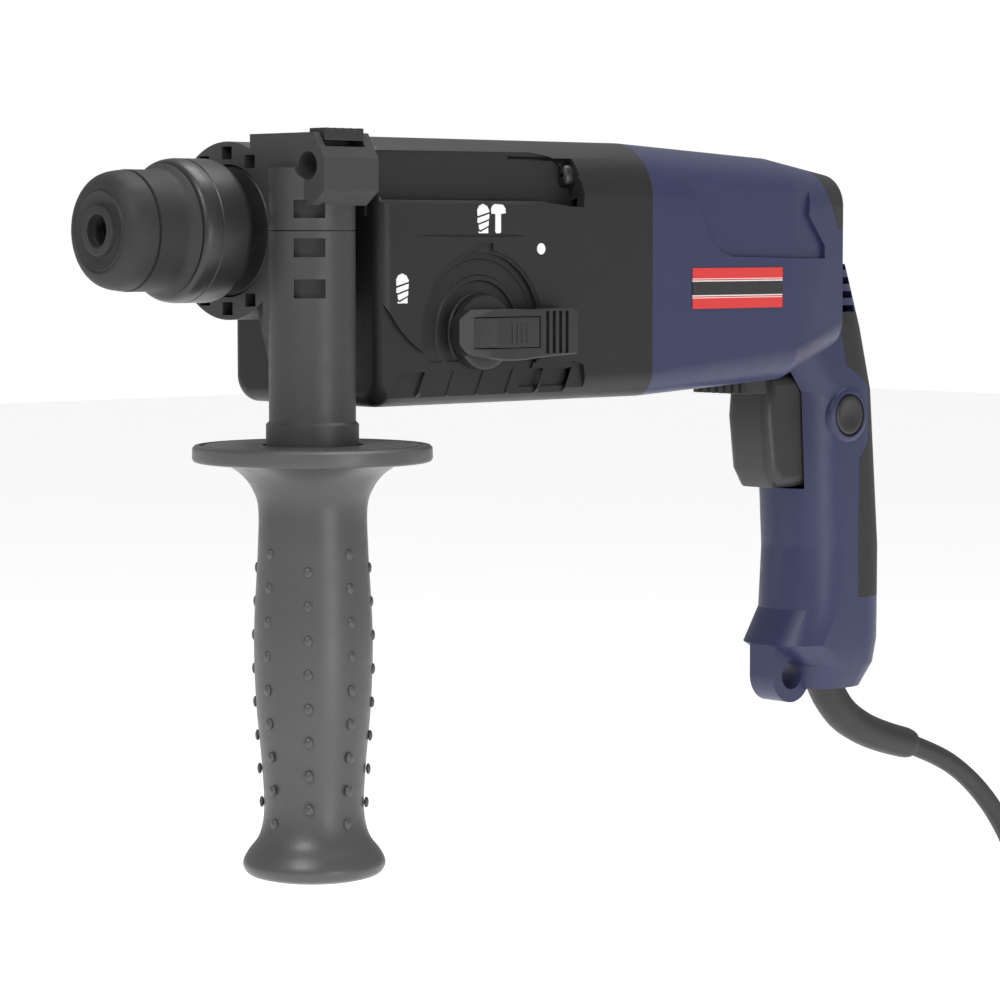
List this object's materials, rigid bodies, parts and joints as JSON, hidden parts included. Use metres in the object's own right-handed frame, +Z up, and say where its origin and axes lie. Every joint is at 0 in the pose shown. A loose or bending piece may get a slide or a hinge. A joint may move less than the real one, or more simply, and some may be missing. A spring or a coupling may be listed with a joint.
{
  "type": "rotary hammer",
  "caption": "Corded pistol-grip rotary hammer with slotted-shank chuck, mode knob, swivelling side handle with hand guard, and a hanging lead with a tied coil and plug.",
  "frame": {"origin": "middle of the rear hand grip, on the tool's mid-plane", "axes": "+X back along the spindle, away from the tool socket; +Z up; -Y is the side with the mode knob"},
  "size_m": [0.5309, 0.1183, 0.4734],
  "materials": {
    "black_housing": "fine spark-eroded texture, low sheen",
    "blue_housing": "fine spark-eroded texture, satin",
    "soft_rubber": "soft moulded rubber",
    "grip_plastic": "glass-filled nylon, satin",
    "control_plastic": "moulded, satin",
    "ground_steel": "ground and oiled",
    "black_steel": "black oxide",
    "cast_aluminium": "die cast",
    "copper": "enamelled winding",
    "carbon": "pressed carbon",
    "brass": "drawn brass",
    "label_film": "printed film",
    "lead_rubber": "rubber sheath",
    "plug_plastic": "moulded plug",
    "nickel": "nickel plated"
  },
  "bodies": {
    "root": {"gear_housing": "black_housing", "bearing_flange": "cast_aluminium", "front_seal": "soft_rubber", "spindle_front_bearing": "brass", "spindle_rear_bearing": "brass", "counter_front_bearing": "ground_steel", "counter_rear_bearing": "ground_steel", "motor_front_bearing": "ground_steel", "motor_rear_bearing": "ground_steel", "stator_core": "black_steel", "field_coils": "copper", "brush_holders": "brass", "carbon_brushes": "carbon", "motor_housing": "blue_housing", "handle_cover": "blue_housing", "web_pad": "soft_rubber", "rear_grip_pad": "soft_rubber", "switch_body": "control_plastic", "body_screws": "black_steel", "cover_screws": "black_steel", "cord_clamp": "control_plastic", "side_label": "label_film", "strain_relief": "lead_rubber", "mains_cord": "lead_rubber", "cord_coil": "lead_rubber", "cord_tie": "soft_rubber", "plug_body": "plug_plastic", "plug_pins": "nickel"},
    "spindle": {"spindle": "ground_steel", "spindle_gear": "black_steel", "dust_cap": "soft_rubber", "locking_balls": "ground_steel", "ball_retainer": "black_steel", "sleeve_spring": "black_steel", "spring_seat": "black_steel"},
    "locking_sleeve": {"locking_sleeve": "control_plastic"},
    "piston": {"piston": "cast_aluminium"},
    "striker": {"striker": "ground_steel", "striker_ring": "soft_rubber"},
    "impact_bolt": {"impact_bolt": "ground_steel"},
    "counter_shaft": {"counter_shaft": "ground_steel", "counter_gear": "black_steel", "wobble_hub": "ground_steel"},
    "clutch": {"clutch_sleeve": "black_steel"},
    "wobble": {"wobble_finger": "black_steel"},
    "armature": {"motor_shaft": "ground_steel", "armature_core": "black_steel", "commutator": "copper", "cooling_fan": "control_plastic"},
    "mode_knob": {"mode_knob": "control_plastic"},
    "release_button": {"release_button": "control_plastic"},
    "trigger": {"trigger": "control_plastic"},
    "direction_lever": {"direction_lever": "control_plastic"},
    "lock_button": {"lock_button": "control_plastic"},
    "side_handle": {"clamp_upper_jaw": "grip_plastic", "clamp_lower_jaw": "grip_plastic", "clamp_stud": "black_steel"},
    "side_grip": {"side_grip": "grip_plastic"},
    "depth_stop_button": {"depth_stop_button": "control_plastic"}
  },
  "joints": [
    {"name": "spindle_spin", "type": "hinge", "parent": "root", "child": "spindle", "pos_m": [-0.3417, 0, 0.115], "axis": [1, 0, 0], "continuous": true},
    {"name": "sleeve_pull", "type": "slide", "parent": "spindle", "child": "locking_sleeve", "axis": [1, 0, 0], "range_m": [0, 0.006], "stiffness_N_per_m": 900, "springref_m": -0.004, "deforming": ["sleeve_spring"]},
    {"name": "counter_spin", "type": "hinge", "parent": "root", "child": "counter_shaft", "pos_m": [-0.3417, 0, 0.08], "axis": [1, 0, 0], "continuous": true},
    {"name": "armature_spin", "type": "hinge", "parent": "root", "child": "armature", "pos_m": [-0.3417, 0, 0.102], "axis": [1, 0, 0], "continuous": true},
    {"name": "wobble_swing", "type": "hinge", "parent": "root", "child": "wobble", "pos_m": [-0.1797, 0, 0.08], "axis": [0, 1, 0], "range_deg": [-8, 8]},
    {"name": "piston_slide", "type": "slide", "parent": "root", "child": "piston", "axis": [1, 0, 0], "range_m": [-0.005, 0.005]},
    {"name": "striker_slide", "type": "slide", "parent": "root", "child": "striker", "axis": [1, 0, 0], "range_m": [-0.002, 0.008]},
    {"name": "bolt_slide", "type": "slide", "parent": "root", "child": "impact_bolt", "axis": [1, 0, 0], "range_m": [-0.0015, 0.001]},
    {"name": "mode_knob_turn", "type": "hinge", "parent": "root", "child": "mode_knob", "pos_m": [-0.2117, -0.0388, 0.0814], "axis": [0, -1, 0], "range_deg": [0, 159]},
    {"name": "clutch_slide", "type": "slide", "parent": "counter_shaft", "child": "clutch", "axis": [1, 0, 0], "range_m": [0, 0.006]},
    {"name": "release_press", "type": "slide", "parent": "mode_knob", "child": "release_button", "axis": [0, 1, 0], "range_m": [0, 0.0015], "stiffness_N_per_m": 600, "springref_m": -0.001},
    {"name": "trigger_pull", "type": "slide", "parent": "root", "child": "trigger", "axis": [1, 0, 0], "range_m": [0, 0.006], "stiffness_N_per_m": 900, "springref_m": -0.003},
    {"name": "direction_turn", "type": "hinge", "parent": "root", "child": "direction_lever", "pos_m": [-0.0507, 0, 0.061], "axis": [0, 0, 1], "range_deg": [-10, 10]},
    {"name": "lock_press", "type": "slide", "parent": "root", "child": "lock_button", "axis": [0, 1, 0], "range_m": [0, 0.003], "stiffness_N_per_m": 500, "springref_m": -0.002},
    {"name": "handle_swivel", "type": "hinge", "parent": "root", "child": "side_handle", "pos_m": [-0.2791, 0, 0.115], "axis": [1, 0, 0], "continuous": true},
    {"name": "grip_turn", "type": "hinge", "parent": "side_handle", "child": "side_grip", "pos_m": [-0.2784, -0.03, 0.015], "axis": [0, 0, 1], "continuous": true},
    {"name": "stop_press", "type": "slide", "parent": "side_handle", "child": "depth_stop_button", "axis": [0, 0, -1], "range_m": [0, 0.002], "stiffness_N_per_m": 500, "springref_m": -0.002}
  ],
  "couplings": [
    {"joint": "counter_spin", "follows": "spindle_spin", "ratio": -2.5},
    {"joint": "armature_spin", "follows": "spindle_spin", "ratio": 11.25},
    {"joint": "piston_slide", "follows": "wobble_swing", "m_per_rad": 0.035},
    {"joint": "clutch_slide", "follows": "mode_knob_turn", "m_per_rad": 0.00216}
  ]
}
